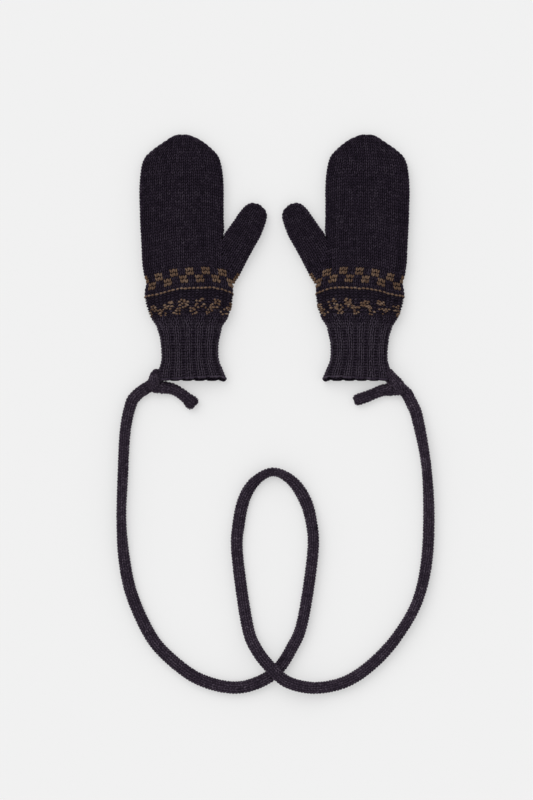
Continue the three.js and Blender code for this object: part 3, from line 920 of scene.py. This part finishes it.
def dressCuff(name, side):
    waleCount = 4 * fabric["ribRepeats"]
    rows, wales = np.meshgrid(np.arange(18), np.arange(waleCount), indexing="ij")
    rows = rows.ravel()
    wales = wales.ravel()
    knitWale = wales % 4 < 2
    seats = seatsOf(rows, wales / waleCount, np.full(len(rows), 1 / waleCount))
    streaked(seats, rows, wales)
    # raised knit wales get a painted highlight, purl wales in the grooves less of it, as painted shade
    seats["tone"] += np.where(knitWale, mitten["ribHighlight"], mitten["purlShadeTone"])
    edgeShares = np.arange(waleCount) / waleCount
    edge = seatsOf(np.full(waleCount, -0.1), edgeShares, np.full(waleCount, 1.1 / waleCount), 0.6)
    # the cast-on edge catches the light on the half nearer the thumb
    edge["tone"] += mitten["edgeTone"] * np.clip(2 * faceShare(edgeShares), 0, 1)
    inner = seatsOf(rows, wales / waleCount, np.full(len(rows), 1.05 / waleCount), -2.3)
    seenInside = (rows < 3) & (wales > waleCount / 2)
    return mittenPiece(name + "CuffKnit", joined([
        laid(rightLong, chosen(seats, knitWale), onCuff),
        laid(leftLong, chosen(seats, knitWale), onCuff),
        laid(bump, chosen(seats, ~knitWale, mitten["purlLift"]), onCuff),
        laid(bump, edge, onCuff),
        laid(upperArc, chosen(inner, seenInside), onCuff),
        laid(lowerArc, chosen(inner, seenInside), onCuff),
    ]), side, darkWool)


def mittenPiece(name, made, side, material):
    corners, faces, tone = made
    corners = corners.copy()
    corners[:, 2] = np.maximum(corners[:, 2], 0.05)
    corners[:, 0] = side * (corners[:, 0] - mitten["spacing"] / 2)
    corners[:, 1] += ribTopY
    if side < 0:
        faces = faces[:, ::-1]
    return pieceFrom(name, corners, faces, tone, material)


def mittenWalls(name, side):
    def turned(points):
        points = points.copy()
        points[..., 2] = np.maximum(points[..., 2], 0.9)
        points[..., 0] = side * (points[..., 0] - mitten["spacing"] / 2)
        points[..., 1] += ribTopY
        return points

    def wallHand(v, u, lift):
        return turned(uneven(onForm(hand, v, u, lift)))

    def wallThumb(v, u, lift):
        return turned(uneven(onForm(thumb, v, u, lift)))

    def wallCuff(v, u, lift):
        return turned(uneven(onForm(cuff, v, u, lift)))

    tipY = (mitten["handLength"] + ribTopY - 6) * mm
    # the walls take the near-black wool, painted shade in the gaps between stitches
    walls = [
        wallOn(name + "HandWall", hand, wallHand, 100, 104, lambda co: co.y > tipY, gapShadeWool),
        wallOn(name + "ThumbWall", thumb, wallThumb, 40, 48, lambda co: co.y > (60.8 + ribTopY) * mm, gapShadeWool),
        wallOn(name + "CuffWall", cuff, wallCuff, 24, 156, None, gapShadeWool),
    ]
    return walls


# Cord, knots and tails

# The route in metres, the same as the model's: x and y of its middle line over the table
crossing = (0.001, -0.4355)
cordRoute = [
    (-0.1446, -0.1446), (-0.151, -0.1545), (-0.157, -0.1835), (-0.1596, -0.2339), (-0.1609, -0.276),
    (-0.158, -0.317), (-0.1496, -0.356), (-0.1297, -0.3988), (-0.1076, -0.4235), (-0.0803, -0.4428),
    (-0.0488, -0.4518), (-0.0236, -0.4492),
    crossing,
    (0.0184, -0.4103), (0.0299, -0.3809), (0.0404, -0.3095), (0.0383, -0.2759), (0.031, -0.2528),
    (0.0173, -0.2339), (-0.0016, -0.2255), (-0.0194, -0.2344), (-0.0315, -0.2528), (-0.0378, -0.2811),
    (-0.0391, -0.3126), (-0.0289, -0.3851), (-0.0184, -0.4124),
    crossing,
    (0.0173, -0.447), (0.0457, -0.4523), (0.0772, -0.4449), (0.1066, -0.4239), (0.1318, -0.3945),
    (0.1507, -0.3599), (0.1601, -0.3179), (0.1622, -0.2654), (0.1591, -0.216), (0.1502, -0.1688),
    (0.1442, -0.1532),
]
# how wide the cord looks from above at each point of the route, ends included, in mm
seenWidths = [
    13.5, 13.3, 13, 12, 11.6, 10.8, 12.8, 13.4, 13.5, 13.5, 13.5, 13.5, 13.5, 13.5, 13.1, 12.6, 12.6, 12.8, 14,
    11.8, 9.6, 11.8, 13.6, 13.8, 13, 13.4, 13.5, 13.5, 13.2, 12.6, 12.6, 12.6, 11.6, 11.6, 12.6, 12.3, 11,
    13, 13.3, 13.5,
]
cord = {
    "wide": 14.0,
    "deep": 9.2,
    "tableGap": 0.25,
    "wales": 7,
    "crossLift": 10.0,
    "humpReach": 62,
    "humpFlat": 11,
    "coreDepth": 1.15,
    "knotStrand": 12.4,
    "knotWales": 7,
}

# Each knot's strand from the cord's end through the fold to the tail, and the tail: out and down
# from the hem's outer corner and up from the table, in mm
knotStrands = {
    "left": [
        (10.8, 7.8, 4.7), (6.3, 5.2, 5.5), (-0.3, -0.3, 8), (-4, -4.6, 8.4), (-4, -7.8, 8.6), (-1.4, -9, 9.2),
        (1, -7, 10.4), (2, -2.2, 12), (2.4, 2.8, 12), (0.6, 6.5, 9.5), (-4.6, 7.2, 5.8), (-9.1, 7.2, 4.9),
    ],
    "right": [
        (14.5, 13.3, 4.7), (8.5, 8, 5), (0.4, 3, 6.8), (-5, -3.5, 8.2), (-5.8, -8, 8.3), (-4.9, -10.5, 9),
        (-3.6, -8, 10.4), (0.8, -1.8, 12), (5.6, 3.8, 12), (7, 8.4, 9), (1.2, 9.6, 5.6), (-5.5, 9.4, 4.9),
    ],
}
knotTails = {
    "left": [
        (-4.5, 6.8, 5.2), (-9.1, 6.8, 4.9), (-17.5, 8.5, 4.8), (-24.9, 12.3, 4.8), (-32.2, 17.9, 4.8),
        (-38.5, 23.6, 5.2),
    ],
    "right": [
        (-1, 9, 5.2), (-5.5, 9, 4.9), (-12.3, 10.2, 4.8), (-20.2, 13.4, 4.8), (-29.1, 17, 4.8),
        (-37.5, 19.8, 4.8),
    ],
}
tailSwell = {"left": 1.24, "right": 1.0}
# size of the strand from the cord's end to the tail: thick where it is loose
knotSizes = [(0, 1.05), (0.2, 1.05), (0.36, 0.8), (0.46, 0.66), (0.56, 0.76), (0.7, 1), (0.85, 1), (1, 0.95)]
# how far each knot's knitting starts back along the cord, out and down from its first point, in mm
knotStarts = {"left": (3.8, 2.9), "right": (2, 4.2)}
hemCorner = (mitten["cuffCentre"] + cuffTable[0][1] * mitten["cuffWidth"], -mitten["cuffLength"])


def fromHemCorner(points, side):
    points = np.asarray(points, float)
    x = side * (hemCorner[0] - points[:, 0] - mitten["spacing"] / 2)
    return np.stack([x, hemCorner[1] - points[:, 1] + ribTopY, points[:, 2]], axis=1)


def tubeForm(middle, halfWidth, halfDepth, turn, sides=48):
    # a tube about its middle line; turn rolls the flat section over
    heading = np.gradient(middle, axis=0)
    heading /= np.linalg.norm(heading, axis=1, keepdims=True)
    sideways = np.cross(heading, [0, 0, 1.0])
    sideways /= np.maximum(np.linalg.norm(sideways, axis=1, keepdims=True), 1e-6)
    upwards = np.cross(sideways, heading)
    angle = 2 * np.pi * np.linspace(0, 1, sides + 1)
    a = -halfWidth[:, None] * np.cos(angle)[None]
    b = halfDepth[:, None] * np.sin(angle)[None]
    across = a * np.cos(turn)[:, None] - b * np.sin(turn)[:, None]
    above = a * np.sin(turn)[:, None] + b * np.cos(turn)[:, None]
    points = middle[:, None] + across[..., None] * sideways[:, None] + above[..., None] * upwards[:, None]
    return formOf(points)


def cordLine():
    # the cord's middle line in mm with its roll, lifted where it passes over itself
    ends = [fromHemCorner(knotStrands[name][:1], side)[0] for name, side in (("left", 1), ("right", -1))]
    plan = [tuple(ends[0][:2])] + [(1000 * x, 1000 * y) for x, y in cordRoute] + [tuple(ends[1][:2])]
    curve = catmullPoints(np.array(plan), 24)
    widths = smoothAt(np.arange(len(plan)), seenWidths, np.arange(len(curve)) / 24)
    reach = lengthAlong(curve)
    even = np.linspace(0, reach[-1], int(reach[-1]) + 1)
    x = np.interp(even, reach, curve[:, 0])
    y = np.interp(even, reach, curve[:, 1])
    width = np.interp(even, reach, widths)
    narrow = np.clip((width / cord["wide"]) ** 2, 0, 1)
    flat = (cord["deep"] / cord["wide"]) ** 2
    turn = np.arccos(np.sqrt(np.clip((narrow - flat) / (1 - flat), 0, 1)))
    turn = np.convolve(np.pad(turn, 12, mode="edge"), np.ones(25) / 25, mode="valid")
    halfHeight = np.sqrt((cord["wide"] / 2 * np.sin(turn)) ** 2 + (cord["deep"] / 2 * np.cos(turn)) ** 2)
    z = halfHeight + cord["tableGap"]
    away = np.hypot(x - 1000 * crossing[0], y - 1000 * crossing[1])
    share = np.clip((away - cord["humpFlat"]) / (cord["humpReach"] - cord["humpFlat"]), 0, 1)
    over = even > reach[-1] / 2
    z = z + np.where(over, cord["crossLift"] * (0.5 + 0.5 * np.cos(np.pi * share)), 0)
    return np.stack([x, y, z], axis=1), turn, even[-1]


def dressTube(name, middle, halfWidth, halfDepth, turn, wales, material, closing=2):
    # a knitted tube: stitches in wales round it and rows along it, over a plain core
    length = lengthAlong(middle)[-1]
    form = tubeForm(middle, halfWidth, halfDepth, turn)
    rowCount = int(round(length / fabric["rowHeight"]))
    rows, around = np.meshgrid(np.arange(rowCount), np.arange(wales), indexing="ij")
    seats = seatsOf(rows.ravel(), (around.ravel() + 0.25) / wales, np.full(rows.size, 1 / wales))
    # the last row closes over half as many wales, twice as wide
    closed = seats["row"] == rowCount - 1
    seats["width"][closed] *= 1.6
    seats = chosen(seats, ~closed | (around.ravel() % 2 == 0))

    def onTube(row, share, lift):
        return onForm(form, row / rowCount, share, lift)

    corners, faces, tone = joined([laid(rightLeg, seats, onTube), laid(leftLeg, seats, onTube)])
    core = coreOf(form, 14, max(6, int(length / 4)))
    corners, faces, tone = joined([(corners, faces, tone), core])
    corners[:, 2] = np.maximum(corners[:, 2], 0.05)
    return pieceFrom(name, corners, faces, tone, material), length


def coreOf(form, sides, steps):
    # plain tube under the stitches, closed at both ends by a ring drawn to a point, darkened as painted shade in the
    # gaps between stitches
    v, u = np.meshgrid(np.linspace(0, 1, steps + 1), np.arange(sides) / sides, indexing="ij")
    points = onForm(form, v, u, np.full(v.shape, -cord["coreDepth"]))
    first = points[:1].mean(axis=1, keepdims=True) + 0.02 * (points[:1] - points[:1].mean(axis=1, keepdims=True))
    last = points[-1:].mean(axis=1, keepdims=True) + 0.02 * (points[-1:] - points[-1:].mean(axis=1, keepdims=True))
    points = np.concatenate([first, points, last])
    count = len(points)
    i, j = np.meshgrid(np.arange(count - 1), np.arange(sides), indexing="ij")
    a = i * sides + j
    b = i * sides + (j + 1) % sides
    faces = np.stack([a, b, b + sides, a + sides], axis=-1).reshape(-1, 4)
    i = np.arange(sides // 2 - 1)
    cap = np.stack([i + 1, i, sides - 1 - i, sides - 2 - i], axis=1)
    faces = np.vstack([faces, cap, cap[:, ::-1] + (count - 1) * sides])
    # a tone of -2 takes the core to the dark end of the wool: painted shade
    return points.reshape(-1, 3), faces, np.full(count * sides, -2.0)


def resampled(points, step=1.0):
    curve = catmullPoints(points, 24)
    reach = lengthAlong(curve)
    even = np.linspace(0, reach[-1], max(8, int(reach[-1] / step)) + 1)
    return np.stack([np.interp(even, reach, column) for column in curve.T], axis=1), even / reach[-1]


def dressKnot(name, side):
    first = np.array(knotStrands[name][0]) + [*knotStarts[name], 0]
    middle, share = resampled(fromHemCorner([first] + knotStrands[name], side))
    size = np.interp(share, *columns(knotSizes))
    wide = cord["knotStrand"] / 2 * size
    deep = np.minimum(wide * 0.86, 4.4)
    middle[:, 2] = np.maximum(middle[:, 2], deep + 0.3)
    return dressTube(name + "KnotKnit", middle, wide, deep, np.zeros(len(middle)), cord["knotWales"], cordWool)[0]


def dressTail(name, side):
    middle, share = resampled(fromHemCorner(knotTails[name], side))
    heading = middle[-1] - middle[-4]
    heading /= np.linalg.norm(heading)
    swell = tailSwell[name]
    extra = np.linspace(0.5, 4.6, 9)[:, None] * heading
    middle = np.vstack([middle, middle[-1] + extra])
    length = lengthAlong(middle)
    share = length / length[-1]
    sizes = [
        (0, 1.14), (0.2, 1.03), (0.45, 0.95), (0.7, 1), (0.86, swell), (0.94, swell * 0.93),
        (0.98, swell * 0.7), (1, 0.45),
    ]
    size = np.interp(share, *columns(sizes))
    halfDepth = 4.4 * size
    middle[:, 2] = np.maximum(middle[:, 2] * np.ones(len(middle)), halfDepth + 0.25)
    return dressTube(name + "TailKnit", middle, 6.4 * size, halfDepth, np.zeros(len(middle)), cord["wales"], cordWool)[0]


pieces = {}
middle, turn, cordLength = cordLine()
flatHalf = np.full(len(middle), cord["wide"] / 2)
deepHalf = np.full(len(middle), cord["deep"] / 2)
squeeze = np.interp(np.arange(len(middle)), [0, 14, len(middle) - 15, len(middle) - 1], [0.95, 1, 1, 0.95])
pieces["cord"], laidLength = dressTube("cordKnit", middle, flatHalf * squeeze, deepHalf, turn, cord["wales"], cordWool)
print("cord knitted, length", round(laidLength, 1), "mm")
for name, side in (("left", 1), ("right", -1)):
    pieces[name + "_knot"] = dressKnot(name, side)
    pieces[name + "_tail"] = dressTail(name, side)
print("knots and tails knitted")

bandPieces = []
wallPieces = []
for name, side in (("left", 1), ("right", -1)):
    pieces[name + "_hand"], bands = dressHand(name, side)
    pieces[name + "_thumb"], thumbBrown = dressThumb(name, side)
    corners, faces, tone = joined(thumbBrown)
    if len(corners):
        bandPieces.append(mittenPiece(name + "ThumbBands", (corners, faces, tone), side, brownWool))
    bandPieces.append(bands)
    pieces[name + "_cuff"] = dressCuff(name, side)
    wallPieces += mittenWalls(name, side)
    print(name, "mitten knitted")

for node, piece in pieces.items():
    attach(piece, "root")
    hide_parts(node)
for piece in bandPieces:
    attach(piece, "root")
for piece in wallPieces:
    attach(piece, "root")

# Table and light

studio = {
    "table": (0.5, 0.5, 0.5),
    "tableGlow": 0.383,
    "sky": (1, 1, 1),
    "skyStrength": 0.74,
    "keyStrength": 1.05,
    "keySoftness": 50,
}
bpy.ops.object.select_all(action="DESELECT")
bpy.ops.mesh.primitive_plane_add(size=14, location=(0, -0.15, 0))
table = bpy.context.object
table.name = "table"
tableMaterial = bpy.data.materials.new("paleTable")
tableMaterial.use_nodes = True
tableShader = tableMaterial.node_tree.nodes["Principled BSDF"]
tableShader.inputs["Base Color"].default_value = (*studio["table"], 1)
tableShader.inputs["Roughness"].default_value = 0.9
tableShader.inputs["Specular IOR Level"].default_value = 0.1
tableShader.inputs["Emission Color"].default_value = (1, 1, 1, 1)  # lit from below, as a light table is
tableShader.inputs["Emission Strength"].default_value = studio["tableGlow"]
table.data.materials.append(tableMaterial)
table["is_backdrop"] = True
sky = bpy.data.worlds.new("studio")
bpy.context.scene.world = sky
sky.use_nodes = True
sky.node_tree.nodes["Background"].inputs["Color"].default_value = (*studio["sky"], 1)
sky.node_tree.nodes["Background"].inputs["Strength"].default_value = studio["skyStrength"]
bpy.ops.object.light_add(type="SUN", location=(-1, 1, 2), rotation=(math.radians(-32), math.radians(-28), 0))
key = bpy.context.object
key.name = "key"
key.data.energy = studio["keyStrength"]
key.data.angle = math.radians(studio["keySoftness"])
bpy.context.scene.view_settings.view_transform = "Standard"
print("table and light set")

faceCount = {piece.name: sum(len(p.vertices) - 2 for p in piece.data.polygons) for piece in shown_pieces()}
print("triangles", sum(faceCount.values()), "largest", max(faceCount.values()))
